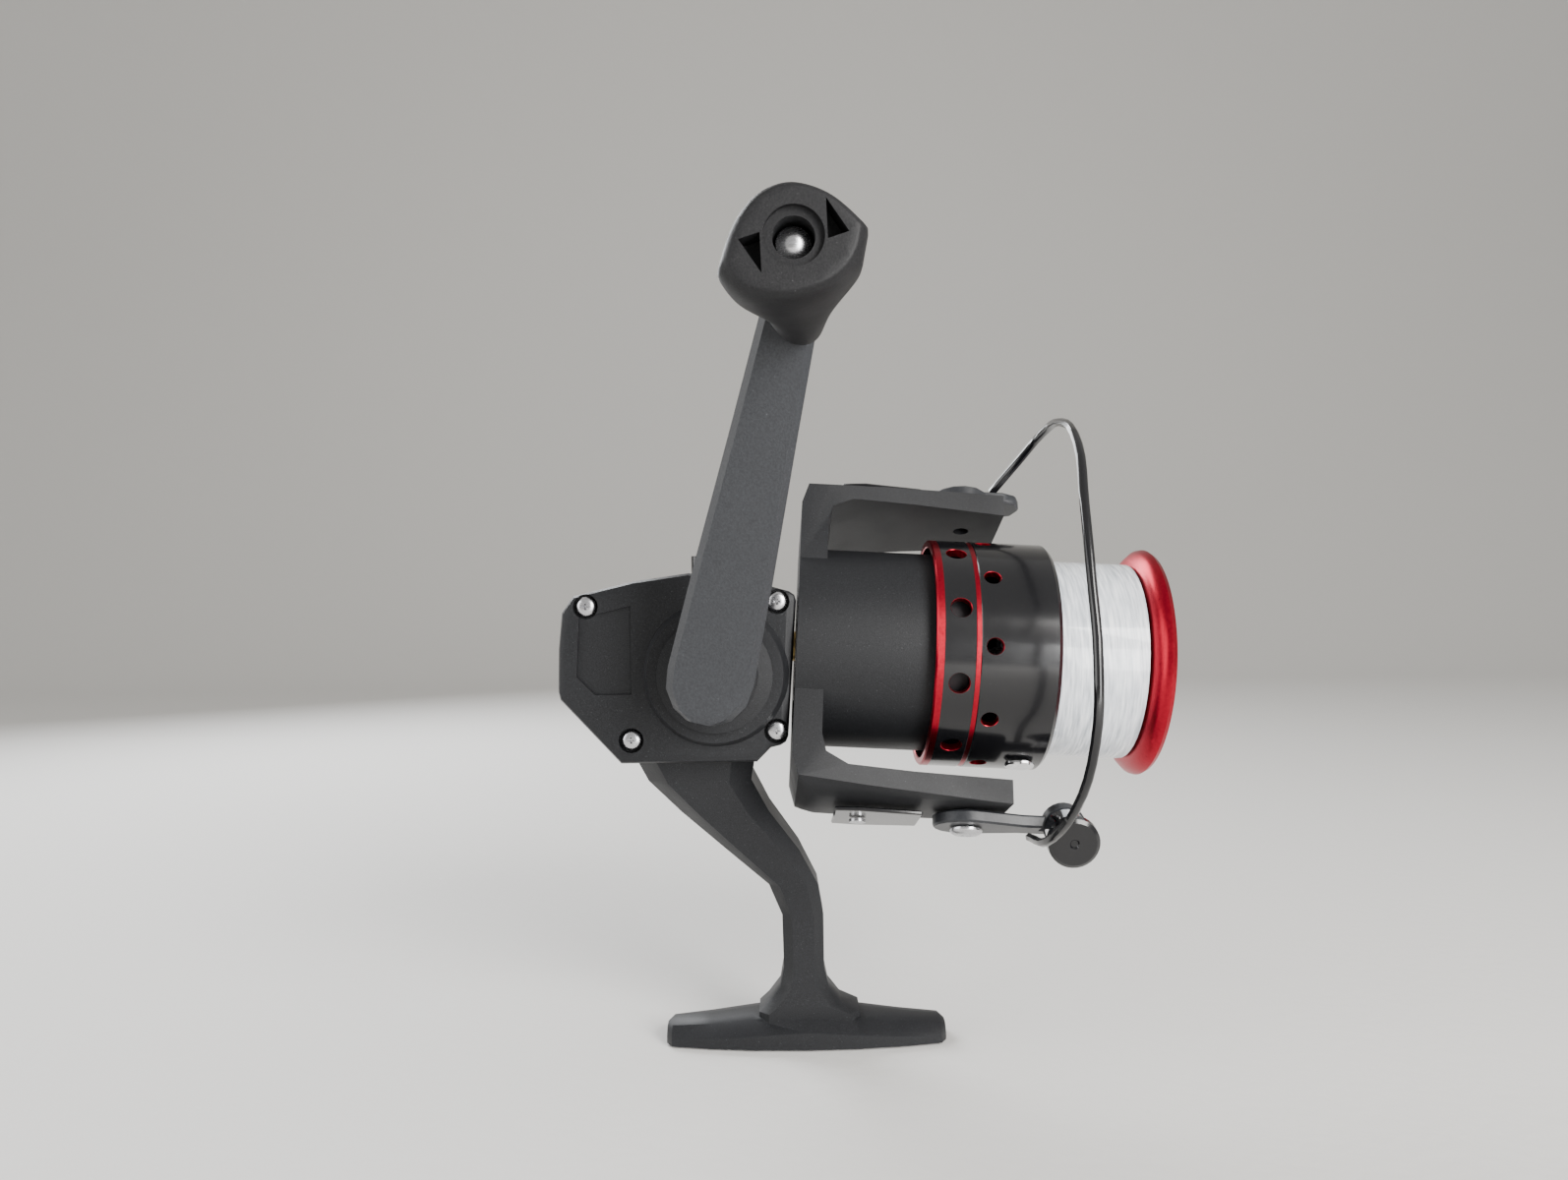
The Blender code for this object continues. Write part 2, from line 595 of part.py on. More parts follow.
def spool_pieces():
    spool()
    ring("line_winding", 16.4, LINE_RADIUS, 68.4, 85.6, "line", spool_axis, 48)
    ring("drag_felt_rear", 2.3, 10.4, 80.4, 81.5, "felt", spool_axis)
    ring("drag_metal_washer", 2.3, 10.4, 81.9, 82.9, "steel", spool_axis)
    ring("drag_felt_front", 2.3, 10.4, 83.3, 84.4, "felt", spool_axis)
    ring("drag_clip", 9.0, 10.6, 84.8, 85.5, "steel", spool_axis)
    ratchet = prism("click_ratchet", toothed(7.6, 6.8, 24), 61.5, 64.0, "zinc", spool_axis, "XY")
    cut(ratchet, rod("ratchet_bore", 2.2, (0, 0, 60), (0, 0, 66), None, spool_axis, 16))
    clip_turn = Matrix.Rotation(math.radians(150), 4, "Z")
    clip_axis = empty("clip_axis", clip_turn, spool_axis)
    tab = [(u, 62.5 + v) for u, v in oval(2.0, 3.0, 14)]
    bevel(prism("line_clip", tab, 24.35, 25.3, "chrome", clip_axis, "YZ"), 0.25)
    nose = [(0, 96.4), (3.2, 96.2), (6.4, 95.1), (8.6, 93.0), (9.4, 90.6), (9.4, 86.0)]
    nose += [(2.2, 86.0), (2.2, 92.2), (0, 92.2)]
    turned("drag_knob", nose, "gloss", spool_axis, 32)


fixed_pieces()
drive_train()
handle_knob()
crosswind_gear()
rotor_pieces()
bail()
shaft_pieces()
spool_pieces()
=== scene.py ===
# Looks for the spinning reel: finished copies of the reel's pieces, a fresh spool, wound line and bail wire.
import bmesh
import bpy
import json
import math
from mathutils import Matrix, Vector


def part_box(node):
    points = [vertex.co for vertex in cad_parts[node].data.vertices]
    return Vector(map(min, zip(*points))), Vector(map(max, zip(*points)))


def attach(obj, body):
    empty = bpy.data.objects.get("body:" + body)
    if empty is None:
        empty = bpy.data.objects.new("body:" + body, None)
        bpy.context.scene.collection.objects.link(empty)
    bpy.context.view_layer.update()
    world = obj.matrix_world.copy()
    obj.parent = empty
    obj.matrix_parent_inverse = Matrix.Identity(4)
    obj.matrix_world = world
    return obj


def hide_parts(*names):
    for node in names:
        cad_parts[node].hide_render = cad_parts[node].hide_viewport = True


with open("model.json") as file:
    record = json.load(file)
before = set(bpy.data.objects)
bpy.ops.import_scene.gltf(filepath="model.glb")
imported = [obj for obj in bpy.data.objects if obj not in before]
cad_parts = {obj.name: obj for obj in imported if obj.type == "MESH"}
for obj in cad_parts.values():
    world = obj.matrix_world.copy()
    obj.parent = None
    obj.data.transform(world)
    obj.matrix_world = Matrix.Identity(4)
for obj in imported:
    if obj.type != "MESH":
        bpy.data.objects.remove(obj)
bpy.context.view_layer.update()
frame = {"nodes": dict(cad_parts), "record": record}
nodes = frame["nodes"]
bodyOf = {node: body for body, held in frame["record"]["behaviour"]["bodies"].items() for node in held}
joints = {joint["name"]: joint for joint in frame["record"]["behaviour"]["joints"]}
print("frame loaded:", len(nodes), "nodes")


# axes

forward = Vector(joints["spool_slip"]["axis"])
spoolOrigin = Vector(joints["spool_slip"]["pos_m"])
spoolUp = Vector((0, 1, 0)).cross(-forward).normalized()
if spoolUp.z < 0:
    spoolUp.negate()


def axisFrame(origin, along, up):
    side = along.cross(up)
    return Matrix.Translation(origin) @ Matrix((up, side, along)).transposed().to_4x4()


spoolFrame = axisFrame(spoolOrigin, forward, spoolUp)
pivotUp = Vector(joints["bail_flip"]["axis"])
bailFrame = axisFrame(Vector(joints["bail_flip"]["pos_m"]), forward, pivotUp)


# camera, floor and light

view = dict(place=(-0.00337, -0.243, 0.09567), lens=25.97, roll=math.radians(0.8))
c, s = math.cos(view["roll"]), math.sin(view["roll"])
cameraData = bpy.data.cameras.new("camera")
cameraData.lens = view["lens"]
cameraData.clip_start = 0.01
camera = bpy.data.objects.new("camera", cameraData)
turn = Matrix(((c, s, 0), (0, 0, -1), (-s, c, 0))).to_4x4()
camera.matrix_world = Matrix.Translation(view["place"]) @ turn
bpy.context.scene.collection.objects.link(camera)
bpy.context.scene.camera = camera

studio = dict(floor=(0.66, 0.65, 0.63), sky=(0.66, 0.65, 0.63), skyPower=1.0)
world = bpy.data.worlds.new("studio")
world.use_nodes = True
world.node_tree.nodes["Background"].inputs["Color"].default_value = (*studio["sky"], 1)
world.node_tree.nodes["Background"].inputs["Strength"].default_value = studio["skyPower"]
bpy.context.scene.world = world


def areaLight(name, place, target, size, power, colour=(1, 1, 1)):
    data = bpy.data.lights.new(name, "AREA")
    data.size, data.energy, data.color = size, power, colour
    lamp = bpy.data.objects.new(name, data)
    aim = (Vector(target) - Vector(place)).to_track_quat("-Z", "Y")
    lamp.matrix_world = Matrix.Translation(place) @ aim.to_matrix().to_4x4()
    bpy.context.scene.collection.objects.link(lamp)


lights = dict(
    keyLight=dict(place=(0.45, -0.55, 0.40), target=(0, 0, 0.08), size=0.35, power=9, colour=(1, 0.98, 0.95)),
    lowLight=dict(place=(0.30, -0.50, 0.10), target=(0, 0, 0.06), size=0.25, power=3),
    backLight=dict(place=(-0.35, 0.50, 0.45), target=(0, 0, 0.08), size=0.4, power=6, colour=(0.95, 0.97, 1)),
    leftLight=dict(place=(-0.60, -0.20, 0.25), target=(0, 0, 0.08), size=0.5, power=3),
)
for name, settings in lights.items():
    areaLight(name, **settings)


# finishes

def startFinish(name, colour, roughness, metallic=0.0):
    made = bpy.data.materials.new(name)
    made.use_nodes = True
    shader = made.node_tree.nodes["Principled BSDF"]
    shader.inputs["Base Color"].default_value = (*colour, 1)
    shader.inputs["Roughness"].default_value = roughness
    shader.inputs["Metallic"].default_value = metallic
    return made, made.node_tree.nodes, made.node_tree.links, shader


def noise(tree, links, scale, detail=3.0, stretch=(1, 1, 1)):
    spots = tree.new("ShaderNodeTexCoord")
    mapping = tree.new("ShaderNodeMapping")
    mapping.inputs["Scale"].default_value = stretch
    grain = tree.new("ShaderNodeTexNoise")
    grain.inputs["Scale"].default_value = scale
    grain.inputs["Detail"].default_value = detail
    links.new(spots.outputs["Object"], mapping.inputs["Vector"])
    links.new(mapping.outputs["Vector"], grain.inputs["Vector"])
    return grain.outputs["Fac"]


def ramp(tree, links, source, stops):
    made = tree.new("ShaderNodeValToRGB")
    band = made.color_ramp
    while len(band.elements) < len(stops):
        band.elements.new(0.5)
    for element, (place, colour) in zip(band.elements, stops):
        element.position = place
        element.color = (*colour, 1)
    links.new(source, made.inputs["Fac"])
    return made.outputs["Color"]


def spread(tree, links, source, low, high):
    made = tree.new("ShaderNodeMapRange")
    made.inputs["To Min"].default_value = low
    made.inputs["To Max"].default_value = high
    links.new(source, made.inputs["Value"])
    return made.outputs["Result"]


def bump(tree, links, shader, source, strength, distance):
    made = tree.new("ShaderNodeBump")
    made.inputs["Strength"].default_value = strength
    made.inputs["Distance"].default_value = distance
    links.new(source, made.inputs["Height"])
    links.new(made.outputs["Normal"], shader.inputs["Normal"])


def speckledPlastic(name, dark, light, low, high,
                    grain=5200, fleck=0.72, relief=0.00006, coat=0.0, sheen=0.22):
    # moulded plastic with a fine tooth, and pale flecks where dust catches
    made, tree, links, shader = startFinish(name, dark, (low + high) / 2)
    fine = noise(tree, links, grain, 4)
    broad = noise(tree, links, 90, 5)
    dust = [3.2 * v + 0.03 for v in light]
    colour = ramp(tree, links, fine, ((0.30, dark), (fleck - 0.04, light), (fleck, dust)))
    links.new(colour, shader.inputs["Base Color"])
    links.new(spread(tree, links, broad, low, high), shader.inputs["Roughness"])
    bump(tree, links, shader, fine, 0.35, relief)
    shader.inputs["Specular IOR Level"].default_value = sheen
    shader.inputs["Coat Weight"].default_value = coat
    shader.inputs["Coat Roughness"].default_value = 0.08
    return made


def metal(name, colour, low, high, stretch=(1, 1, 1), scale=900, relief=0.00002):
    made, tree, links, shader = startFinish(name, colour, (low + high) / 2, 1.0)
    brushed = noise(tree, links, scale, 4, stretch)
    links.new(spread(tree, links, brushed, low, high), shader.inputs["Roughness"])
    tints = ((0.3, [0.82 * v for v in colour]), (0.7, colour))
    links.new(ramp(tree, links, brushed, tints), shader.inputs["Base Color"])
    bump(tree, links, shader, brushed, 0.25, relief)
    return made


def feltFinish():
    made, tree, links, shader = startFinish("feltFinish", (0.16, 0.13, 0.09), 0.95)
    fibre = noise(tree, links, 3000, 6)
    tints = ((0.3, (0.10, 0.08, 0.05)), (0.7, (0.24, 0.20, 0.14)))
    links.new(ramp(tree, links, fibre, tints), shader.inputs["Base Color"])
    bump(tree, links, shader, fibre, 0.8, 0.0002)
    return made


def lineFinish():
    # clear monofilament, milky where many turns lie over each other
    made, tree, links, shader = startFinish("lineFinish", (0.74, 0.77, 0.80), 0.2)
    streaks = noise(tree, links, 220, 4, (9, 0.7, 0.7))
    tints = ((0.28, (0.36, 0.39, 0.43)), (0.52, (0.62, 0.65, 0.69)), (0.75, (0.86, 0.88, 0.90)))
    links.new(ramp(tree, links, streaks, tints), shader.inputs["Base Color"])
    links.new(spread(tree, links, streaks, 0.14, 0.32), shader.inputs["Roughness"])
    shader.inputs["Coat Weight"].default_value = 0.5
    return made


charcoal = speckledPlastic("charcoalPlastic", (0.007, 0.007, 0.008), (0.017, 0.018, 0.020),
                           low=0.38, high=0.60, fleck=0.74)
satin = speckledPlastic("satinPaint", (0.014, 0.015, 0.018), (0.027, 0.029, 0.033),
                        low=0.34, high=0.48, grain=2600, fleck=0.80, sheen=0.4)
gloss = speckledPlastic("glossBlack", (0.003, 0.003, 0.004), (0.006, 0.006, 0.007),
                        low=0.12, high=0.26, fleck=0.74, relief=0.00001, coat=0.25, sheen=0.4)
rubber = speckledPlastic("rubberGrip", (0.006, 0.006, 0.007), (0.014, 0.014, 0.015),
                         low=0.42, high=0.70, grain=3400, fleck=0.76, relief=0.00008)
red = metal("redAnodised", (0.42, 0.012, 0.030), 0.22, 0.42, scale=1600)
steel = metal("steelFinish", (0.58, 0.58, 0.60), 0.18, 0.36, (1, 1, 6))
chrome = metal("chromeFinish", (0.82, 0.82, 0.84), 0.05, 0.14)
brass = metal("brassFinish", (0.62, 0.44, 0.18), 0.22, 0.42)
zinc = metal("zincFinish", (0.40, 0.41, 0.43), 0.38, 0.58, scale=1400)
felt = feltFinish()
line = lineFinish()
finishes = dict(charcoal=charcoal, satin=satin, gloss=gloss, rubber=rubber, steel=steel)
finishes.update(chrome=chrome, brass=brass, zinc=zinc, felt=felt, line=line)
slotOf = {part["node"]: part["material_slot"] for part in frame["record"]["subparts"]}
print("finishes made:", len(finishes) + 1)


# helpers for pieces

def place(name, mesh, body, standsFor, *looks):
    piece = bpy.data.objects.new(name, mesh)
    bpy.context.scene.collection.objects.link(piece)
    if [look.name for look in mesh.materials if look] != [look.name for look in looks]:
        mesh.materials.clear()
        for look in looks:
            mesh.materials.append(look)
    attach(piece, body)
    if standsFor:
        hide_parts(*standsFor)
    return piece


def smoothByAngle(mesh, degrees):
    bm = bmesh.new()
    bm.from_mesh(mesh)
    bmesh.ops.remove_doubles(bm, verts=bm.verts, dist=0.000002)
    bmesh.ops.dissolve_degenerate(bm, edges=bm.edges, dist=0.000002)
    limit = math.radians(degrees)
    for face in bm.faces:
        face.smooth = True
    for edge in bm.edges:
        edge.smooth = len(edge.link_faces) == 2 and edge.calc_face_angle(0) < limit
    bm.to_mesh(mesh)
    bm.free()


def finishedCopy(node, degrees=35):
    mesh = nodes[node].data.copy()
    mesh.name = node + "_finish"
    smoothByAngle(mesh, degrees)
    return place(node + "_finish", mesh, bodyOf[node], [node], finishes[slotOf[node]])


def baked(obj):
    # the evaluated shape as a plain mesh, with the helper object removed
    bpy.context.view_layer.update()
    made = bpy.data.meshes.new_from_object(obj.evaluated_get(bpy.context.evaluated_depsgraph_get()))
    bpy.data.objects.remove(obj)
    return made


def helper(name, mesh):
    made = bpy.data.objects.new(name, mesh)
    bpy.context.scene.collection.objects.link(made)
    return made


def newTree(name, sockets):
    tree = bpy.data.node_groups.new(name, "GeometryNodeTree")
    tree.interface.new_socket("Geometry", in_out="OUTPUT", socket_type="NodeSocketGeometry")
    for label, kind in sockets.items():
        tree.interface.new_socket(label, in_out="INPUT", socket_type="NodeSocket" + kind)
    return tree


# spool

spoolShape = dict(steps=144, skirt=24.0, skirtBack=43.1, lipFront=90.3, bore=2.2)
holeRows = dict(count=10, facets=28, rows=((47.9, 2.5, 11.0), (54.5, 2.1, 29.0)))  # height, radius, turn
holeBore = dict(back=-0.45, front=-0.45, depth=4, reach=23)  # back and front are added to the radius
holeRim = dict(back=-1.0, front=0.35, depth=1.6, reach=24.0)


def skirtTool(name, back, front, depth, reach):
    # one cone through the skirt at every hole, with red faces
    cones = bmesh.new()
    for height, radius, turned in holeRows["rows"]:
        for i in range(holeRows["count"]):
            angle = math.radians(90 + turned + 360 / holeRows["count"] * i)
            out = Matrix.Rotation(angle, 4, "Z") @ Matrix.Translation((0, 0, height))
            out = out @ Matrix.Rotation(math.pi / 2, 4, "Y") @ Matrix.Translation((0, 0, reach))
            bmesh.ops.create_cone(cones, cap_ends=True, segments=holeRows["facets"], radius1=radius + back,
                                  radius2=radius + front, depth=depth, matrix=out)
    for face in cones.faces:
        face.material_index = 1
    mesh = bpy.data.meshes.new(name)
    cones.to_mesh(mesh)
    cones.free()
    for look in (gloss, red):
        mesh.materials.append(look)
    return helper(name, mesh)


def makeSpool():
    r, back, lip, bore = (spoolShape[k] for k in ("skirt", "skirtBack", "lipFront", "bore"))
    profile = [  # radius, height and whether the band down to the next point is red
        (11.0, lip - 1.4, 1), (18.5, lip - 1.2, 1), (20.4, lip - 0.6, 1), (21.6, lip, 1), (22.6, lip, 1),
        (23.5, lip - 0.35, 1), (r, lip - 1.2, 1), (23.8, lip - 2.0, 1), (22.8, lip - 3.0, 1),
        (21.3, lip - 4.0, 1), (16, lip - 4.3, 0), (16, 68.0, 0), (22.4, 68.0, 0), (23.3, 67.8, 0),
        (r, 67.0, 0), (r, 52.0, 0), (23.85, 51.85, 1), (23.85, 50.95, 0), (r, 50.8, 0),
        (r, back + 1.6, 1), (r, back + 0.3, 1), (23.7, back, 1), (22.6, back, 1), (22.4, back + 0.2, 0),
        (22.4, 63.4, 0), (20, 65.4, 0), (8, 65.4, 0), (8, 64.4, 0), (bore, 64.4, 0), (bore, 80.0, 0),
        (11.0, 80.0, 0),
    ]
    bm = bmesh.new()
    steps = spoolShape["steps"]
    rings = []
    for radius, height, _ in profile:
        spots = [2 * math.pi * i / steps for i in range(steps)]
        rings.append([bm.verts.new((radius * math.cos(a), radius * math.sin(a), height)) for a in spots])
    for k, (_, _, isRed) in enumerate(profile):
        above, below = rings[k], rings[(k + 1) % len(rings)]
        for i in range(steps):
            j = (i + 1) % steps
            bm.faces.new((above[i], below[i], below[j], above[j])).material_index = isRed
    bmesh.ops.recalc_face_normals(bm, faces=bm.faces)
    mesh = bpy.data.meshes.new("spool_finish")
    bm.to_mesh(mesh)
    bm.free()
    for look in (gloss, red):
        mesh.materials.append(look)
    shell = helper("spoolShell", mesh)
    tools = (skirtTool("skirtHoles", **holeBore), skirtTool("holeRims", **holeRim))
    for tool in tools:
        step = shell.modifiers.new(tool.name, "BOOLEAN")
        step.object, step.operation, step.solver = tool, "DIFFERENCE", "EXACT"
    made = baked(shell)
    for tool in tools:
        bpy.data.objects.remove(tool)
    made.transform(Matrix.Scale(0.001, 4))
    made.transform(spoolFrame)
    smoothByAngle(made, 32)
    return place("spool_finish", made, "spool", ["spool"], gloss, red)


makeSpool()
print("spool made")


# wound line, as rings laid side by side

windings = dict(start=68.5, turns=58, pitch=0.295, thick=0.16, radius=20.5)


def windingTree():
    tree = newTree("lineWindings", {"Turns": "Int", "Pitch": "Float", "Radius": "Float",
                                    "Line Radius": "Float", "Start": "Float", "Finish": "Material"})
    make, join = tree.nodes.new, tree.links.new
    given, out = make("NodeGroupInput"), make("NodeGroupOutput")
    row = make("GeometryNodeMeshLine")
    step, begin = make("ShaderNodeCombineXYZ"), make("ShaderNodeCombineXYZ")
    loop, section = make("GeometryNodeCurvePrimitiveCircle"), make("GeometryNodeCurvePrimitiveCircle")
    loop.inputs["Resolution"].default_value = 120
    section.inputs["Resolution"].default_value = 6
    tube, copies = make("GeometryNodeCurveToMesh"), make("GeometryNodeInstanceOnPoints")
    real, paint = make("GeometryNodeRealizeInstances"), make("GeometryNodeSetMaterial")
    join(given.outputs["Turns"], row.inputs["Count"])
    join(given.outputs["Pitch"], step.inputs["Z"])
    join(given.outputs["Start"], begin.inputs["Z"])
    join(step.outputs[0], row.inputs["Offset"])
    join(begin.outputs[0], row.inputs["Start Location"])
    join(given.outputs["Radius"], loop.inputs["Radius"])
    join(given.outputs["Line Radius"], section.inputs["Radius"])
    join(loop.outputs["Curve"], tube.inputs["Curve"])
    join(section.outputs["Curve"], tube.inputs["Profile Curve"])
    join(row.outputs["Mesh"], copies.inputs["Points"])
    join(tube.outputs["Mesh"], copies.inputs["Instance"])
    join(copies.outputs["Instances"], real.inputs["Geometry"])
    join(real.outputs["Geometry"], paint.inputs["Geometry"])
    join(given.outputs["Finish"], paint.inputs["Material"])
    join(paint.outputs["Geometry"], out.inputs["Geometry"])
    return tree


def makeWindings():
    tree = windingTree()
    holder = helper("lineHolder", bpy.data.meshes.new("lineHolder"))
    layer = holder.modifiers.new("windings", "NODES")
    layer.node_group = tree
    values = dict(Turns=windings["turns"], Pitch=windings["pitch"] / 1000, Radius=windings["radius"] / 1000,
                  Start=windings["start"] / 1000, Finish=line)
    values["Line Radius"] = windings["thick"] / 1000
    for item in tree.interface.items_tree:
        if item.in_out == "INPUT":
            layer[item.identifier] = values[item.name]
    made = baked(holder)
    made.transform(spoolFrame)
    for face in made.polygons:
        face.use_smooth = True
    return place("line_turns", made, "spool", [], line)


finishedCopy("line_winding", 40)
makeWindings()
print("line wound")


# cross-head screws, instanced on the points of a small mesh

screwHead = dict(steps=40, crossWide=0.26, crossReach=0.66, crossDeep=0.55,
                 crossRoot=0.35, crossFlare=1.3, crossFlat=0.75, crossLift=0.35)


def screwMesh(radius, height, shank, length):
    # a pan head at the origin facing +Z, with a cross recess, in millimetres
    profile = [(0, height), (0.45, 0.98), (0.75, 0.86), (0.93, 0.62), (1.0, 0.3), (1.0, 0.0)]
    rim = [(r * radius, z * height) for r, z in profile[1:]]
    rings = [(0, height)] + rim + [(shank, 0), (shank, -length), (0, -length)]
    bm = bmesh.new()
    edge = [bm.verts.new((r, 0, z)) for r, z in rings]
    lines = [bm.edges.new(pair) for pair in zip(edge, edge[1:])]
    bmesh.ops.spin(bm, geom=edge + lines, cent=(0, 0, 0), axis=(0, 0, 1), angle=2 * math.pi,
                   steps=screwHead["steps"])
    bmesh.ops.remove_doubles(bm, verts=bm.verts, dist=0.0001)
    bmesh.ops.recalc_face_normals(bm, faces=bm.faces)
    mesh = bpy.data.meshes.new("screwBlank")
    bm.to_mesh(mesh)
    bm.free()
    blank = helper("screwBlank", mesh)
    tools = []
    for k in range(2):
        bm = bmesh.new()
        wide, reach, deep = (screwHead[key] * radius for key in ("crossWide", "crossReach", "crossDeep"))
        bmesh.ops.create_cone(bm, cap_ends=True, segments=4, radius1=screwHead["crossRoot"] * reach,
                              radius2=reach * screwHead["crossFlare"], depth=deep * 2)
        bmesh.ops.rotate(bm, verts=bm.verts, matrix=Matrix.Rotation(math.pi / 4, 3, "Z"))
        bmesh.ops.scale(bm, verts=bm.verts, vec=(1, wide / reach * screwHead["crossFlat"], 1))
        bmesh.ops.rotate(bm, verts=bm.verts, matrix=Matrix.Rotation(math.pi / 2 * k, 3, "Z"))
        bmesh.ops.translate(bm, verts=bm.verts, vec=(0, 0, height + deep * screwHead["crossLift"]))
        bmesh.ops.recalc_face_normals(bm, faces=bm.faces)
        toolMesh = bpy.data.meshes.new("cross")
        bm.to_mesh(toolMesh)
        bm.free()
        tools.append(helper(f"cross{k}", toolMesh))
        step = blank.modifiers.new("cross", "BOOLEAN")
        step.object, step.operation, step.solver = tools[-1], "DIFFERENCE", "EXACT"
    made = baked(blank)
    for tool in tools:
        bpy.data.objects.remove(tool)
    made.transform(Matrix.Scale(0.001, 4))
    smoothByAngle(made, 40)
    return made


def screwTree():
    tree = newTree("screwPlacer", {"Points": "Geometry", "Screw": "Object", "Turn": "Vector",
                                   "Finish": "Material"})
    make, join = tree.nodes.new, tree.links.new
    given, out = make("NodeGroupInput"), make("NodeGroupOutput")
    fetch, copies = make("GeometryNodeObjectInfo"), make("GeometryNodeInstanceOnPoints")
    real, paint = make("GeometryNodeRealizeInstances"), make("GeometryNodeSetMaterial")
    join(given.outputs["Points"], copies.inputs["Points"])
    join(given.outputs["Screw"], fetch.inputs["Object"])
    join(fetch.outputs["Geometry"], copies.inputs["Instance"])
    join(given.outputs["Turn"], copies.inputs["Rotation"])
    join(copies.outputs["Instances"], real.inputs["Geometry"])
    join(real.outputs["Geometry"], paint.inputs["Geometry"])
    join(given.outputs["Finish"], paint.inputs["Material"])
    join(paint.outputs["Geometry"], out.inputs["Geometry"])
    return tree


def placeScrews(name, size, tops, facing, body, standsFor):
    blank = helper("screwSource", screwMesh(**size))
    points = bpy.data.meshes.new(name + "Points")
    points.from_pydata(tops, [], [])
    holder = helper(name + "Points", points)
    layer = holder.modifiers.new("screws", "NODES")
    layer.node_group = screwTree()
    values = dict(Screw=blank, Turn=Vector(facing).to_track_quat("Z", "Y").to_euler(), Finish=steel)
    for item in layer.node_group.interface.items_tree:
        if item.in_out == "INPUT" and item.name in values:
            layer[item.identifier] = values[item.name]
    made = baked(holder)
    bpy.data.objects.remove(blank)
    return place(name, made, body, standsFor, steel)


coverScrews = [f"cover_screw_{i}" for i in range(1, 5)]
coverScrew = dict(radius=2.05, height=1.35, shank=1.0, length=9.5)
bailScrew = dict(radius=3.25, height=1.35, shank=1.3, length=6.5)
seats = dict(coverHead=0.0014, bailOut=0.0375)  # a cover screw's head depth, and the bail screws' places


def coverScrewSeats():
    found = []
    for node in coverScrews:
        low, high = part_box(node)
        found.append(((low[0] + high[0]) / 2, low[1] + seats["coverHead"], (low[2] + high[2]) / 2))
    return found


placeScrews("cover_screws", coverScrew, coverScrewSeats(), (0, -1, 0), "body", coverScrews)
for side, node in ((-1, "bail_arm_screw"), (1, "bail_holder_screw")):
    seat = bailFrame @ Vector((side * seats["bailOut"], 0, 0))
    facing = bailFrame.to_3x3() @ Vector((side, 0, 0))
    placeScrews(node + "_finish", bailScrew, [seat], facing, "bail", [node])
print("screws placed")


# handle knob

knobShape = dict(base=(5.3, 9.2), start=-53.4, end=-88.3, turn=math.radians(18),
                 facetsFrom=-74, corners=(-10, 9))
knobCuts = dict(inner=-50, outer=-92, bore=3.0, well=4.3, wellDeep=1.0, pocket=2.9, pocketAt=(5.6, 1.7))
knobEnd = ((9.6, -3.6), (10.6, 1.6), (5.8, 6.6), (-0.4, 8.7), (-5.4, 6.8),
           (-8.9, 2.3), (-10.8, -4.2), (-8.6, -7.8), (-2.0, -9.2), (5.2, -7.6))
knobSections = ((0, 0, 0.92), (0.04, 0, 1), (0.16, 0, 1.03), (0.38, 0.30, 1),  # along, share of the end, size
                (0.66, 0.90, 1), (0.86, 1, 1.02), (0.965, 1, 0.98), (1, 1, 0.86))


def turned(x, z, angle):
    return (x * math.cos(angle) - z * math.sin(angle), x * math.sin(angle) + z * math.cos(angle))


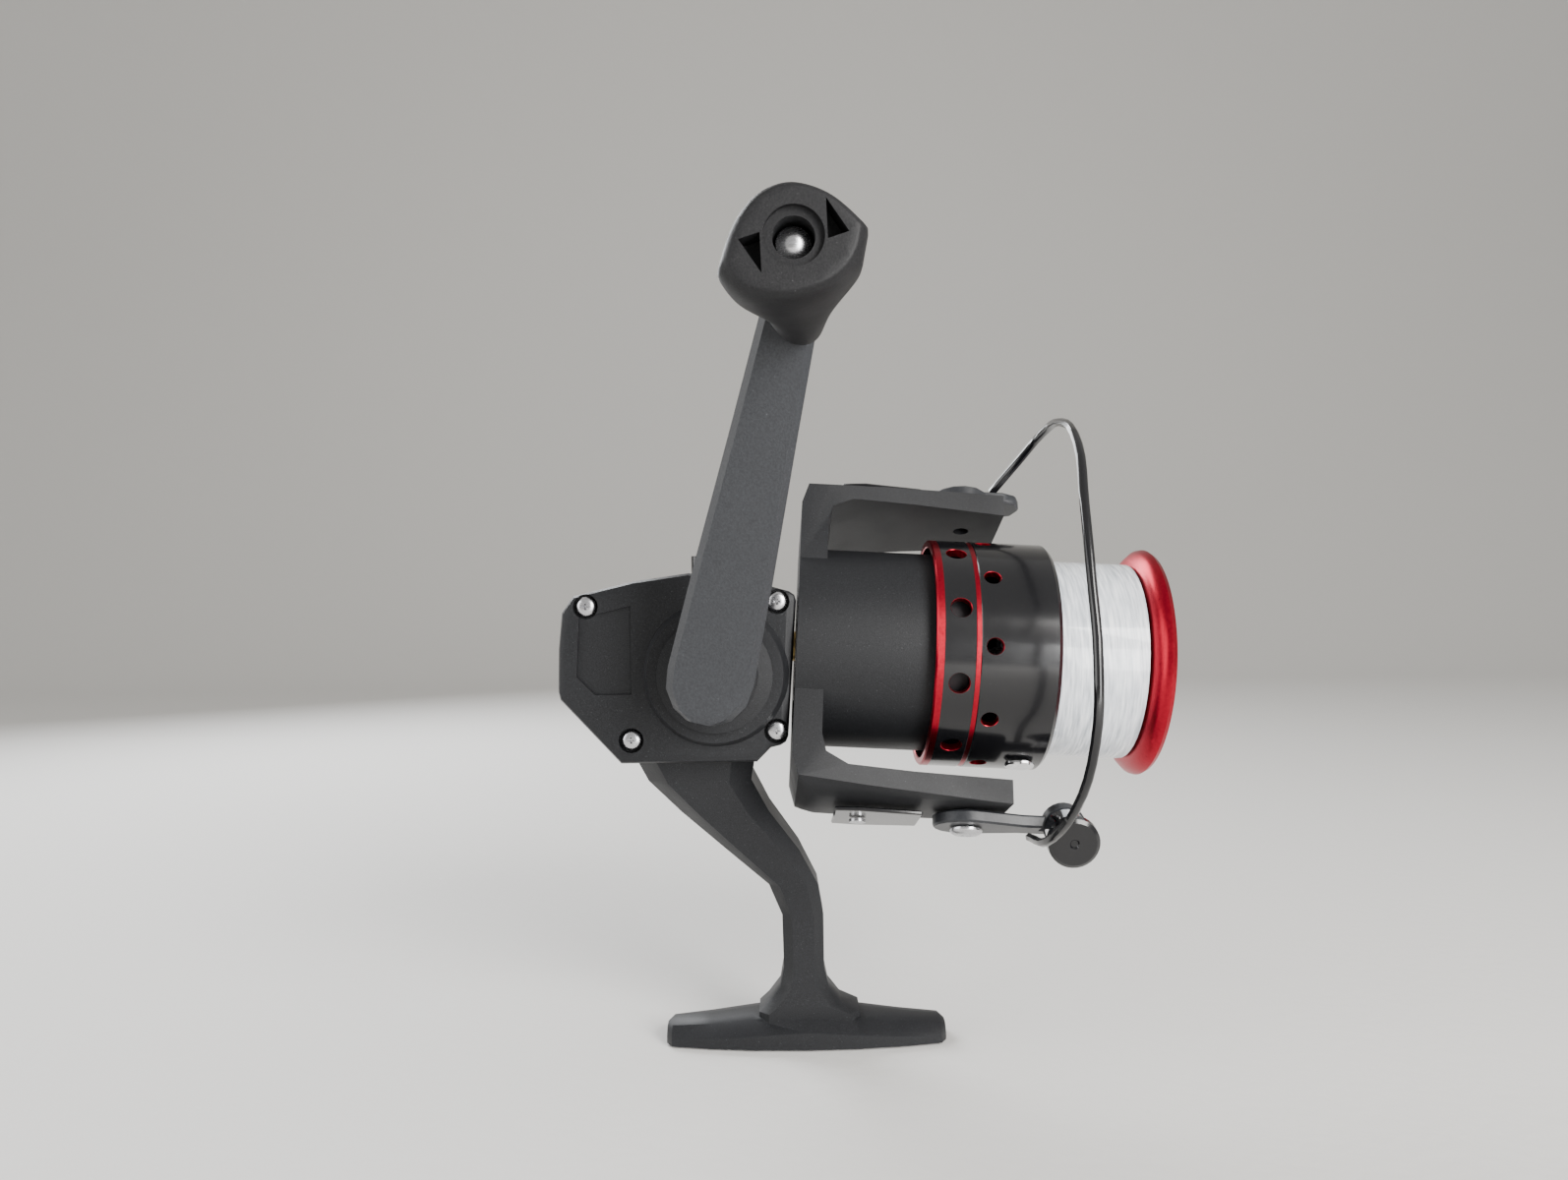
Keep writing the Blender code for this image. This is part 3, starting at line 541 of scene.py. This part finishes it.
def makeKnob():
    spot = Vector(joints["knob_spin"]["pos_m"]) * 1000
    bm = bmesh.new()
    rings = []
    for along, share, size in knobSections:
        y = knobShape["start"] + along * (knobShape["end"] - knobShape["start"])
        ring = []
        for u, v in knobEnd:
            angle, base = math.atan2(v, u) - knobShape["turn"], knobShape["base"]
            slim = turned(base[0] * math.cos(angle), base[1] * math.sin(angle), knobShape["turn"])
            x = (slim[0] * (1 - share) + u * share) * size
            z = (slim[1] * (1 - share) + v * share) * size
            ring.append(bm.verts.new((spot.x + x, y, spot.z + z)))
        rings.append(ring)
    for first, second in zip(rings, rings[1:]):
        for i in range(len(first)):
            j = (i + 1) % len(first)
            bm.faces.new((first[i], first[j], second[j], second[i]))
    bm.faces.new(rings[0])
    bm.faces.new(rings[-1])
    bmesh.ops.recalc_face_normals(bm, faces=bm.faces)
    crease = bm.edges.layers.float.new("crease_edge")
    for edge in bm.edges:
        ends = [v.co.y for v in edge.verts]
        flat = abs(ends[0] - ends[1]) < 0.01
        atEnd = ends[0] < knobShape["end"] + 0.1 or ends[0] > knobShape["start"] - 0.1
        edge[crease] = 0.75 if flat and atEnd else 0.0
        if not flat and min(ends) < knobShape["facetsFrom"]:
            across = edge.verts[0].co.x - spot.x
            low, high = knobShape["corners"]
            edge[crease] = 0.55 if across > high or across < low else 0.15
    mesh = bpy.data.meshes.new("handle_knob_finish")
    bm.to_mesh(mesh)
    bm.free()
    knob = helper("knobBlank", mesh)
    soft = knob.modifiers.new("soft", "SUBSURF")
    soft.levels = soft.render_levels = 3
    tools = []
    low = knobCuts["outer"]
    for label, high in (("bore", knobCuts["inner"]), ("well", knobShape["end"] + knobCuts["wellDeep"])):
        bm = bmesh.new()
        middle = Matrix.Translation((spot.x, (low + high) / 2, spot.z)) @ Matrix.Rotation(math.pi / 2, 4, "X")
        bmesh.ops.create_cone(bm, cap_ends=True, segments=48, radius1=knobCuts[label], radius2=knobCuts[label],
                              depth=high - low, matrix=middle)
        tools.append((label, bm))
    for label, flip in (("pocketLow", -1), ("pocketHigh", 1)):
        bm = bmesh.new()
        across, up = (flip * v for v in knobCuts["pocketAt"])
        shape = Matrix.Translation((spot.x + across, knobShape["end"] + 1.2, spot.z + up))
        shape = shape @ Matrix.Rotation(-knobShape["turn"], 4, "Y") @ Matrix.Rotation(math.pi / 2, 4, "X")
        half = math.pi if flip < 0 else 0
        shape = shape @ Matrix.Rotation(half, 4, "Z") @ Matrix.Diagonal((0.62, 1.25, 1, 1))
        bmesh.ops.create_cone(bm, cap_ends=True, segments=3, radius1=knobCuts["pocket"],
                              radius2=knobCuts["pocket"], depth=6, matrix=shape)
        tools.append((label, bm))
    made = []
    for label, bm in tools:
        bmesh.ops.recalc_face_normals(bm, faces=bm.faces)
        toolMesh = bpy.data.meshes.new(label)
        bm.to_mesh(toolMesh)
        bm.free()
        made.append(helper(label, toolMesh))
        step = knob.modifiers.new(label, "BOOLEAN")
        step.object, step.operation, step.solver = made[-1], "DIFFERENCE", "EXACT"
    shaped = baked(knob)
    for tool in made:
        bpy.data.objects.remove(tool)
    shaped.transform(Matrix.Scale(0.001, 4))
    smoothByAngle(shaped, 40)
    return place("handle_knob_finish", shaped, "knob", ["handle_knob"], rubber)


makeKnob()
print("knob made")


# the other pieces

angles = dict(body_housing=38, side_cover=38, handle_arm=32, rotor=34, bail_wire=60)
already = {"spool", "line_winding", "handle_knob", "bail_arm_screw", "bail_holder_screw", *coverScrews}
for node in nodes:
    if node not in already:
        finishedCopy(node, angles.get(node, 35))
print("pieces finished")


# floor

sweep = dict(near=-3.0, bend=0.9, radius=0.7, top=3.0, halfWidth=4.0, drop=0.0004)


def makeFloor():
    arc = [(sweep["bend"] + sweep["radius"] * math.sin(a), sweep["radius"] * (1 - math.cos(a)))
           for a in (math.pi / 2 * i / 24 for i in range(25))]
    path = [(sweep["near"], 0)] + arc + [(arc[-1][0], sweep["top"])]
    points = [(x, y, z - sweep["drop"]) for y, z in path for x in (-sweep["halfWidth"], sweep["halfWidth"])]
    faces = [(2 * i, 2 * i + 1, 2 * i + 3, 2 * i + 2) for i in range(len(path) - 1)]
    mesh = bpy.data.meshes.new("floor")
    mesh.from_pydata(points, [], faces)
    for face in mesh.polygons:
        face.use_smooth = True
    look, tree, links, shader = startFinish("floorPaint", studio["floor"], 0.8)
    bump(tree, links, shader, noise(tree, links, 260, 4), 0.25, 0.0006)
    mesh.materials.append(look)
    helper("floor", mesh)


makeFloor()

print("done")
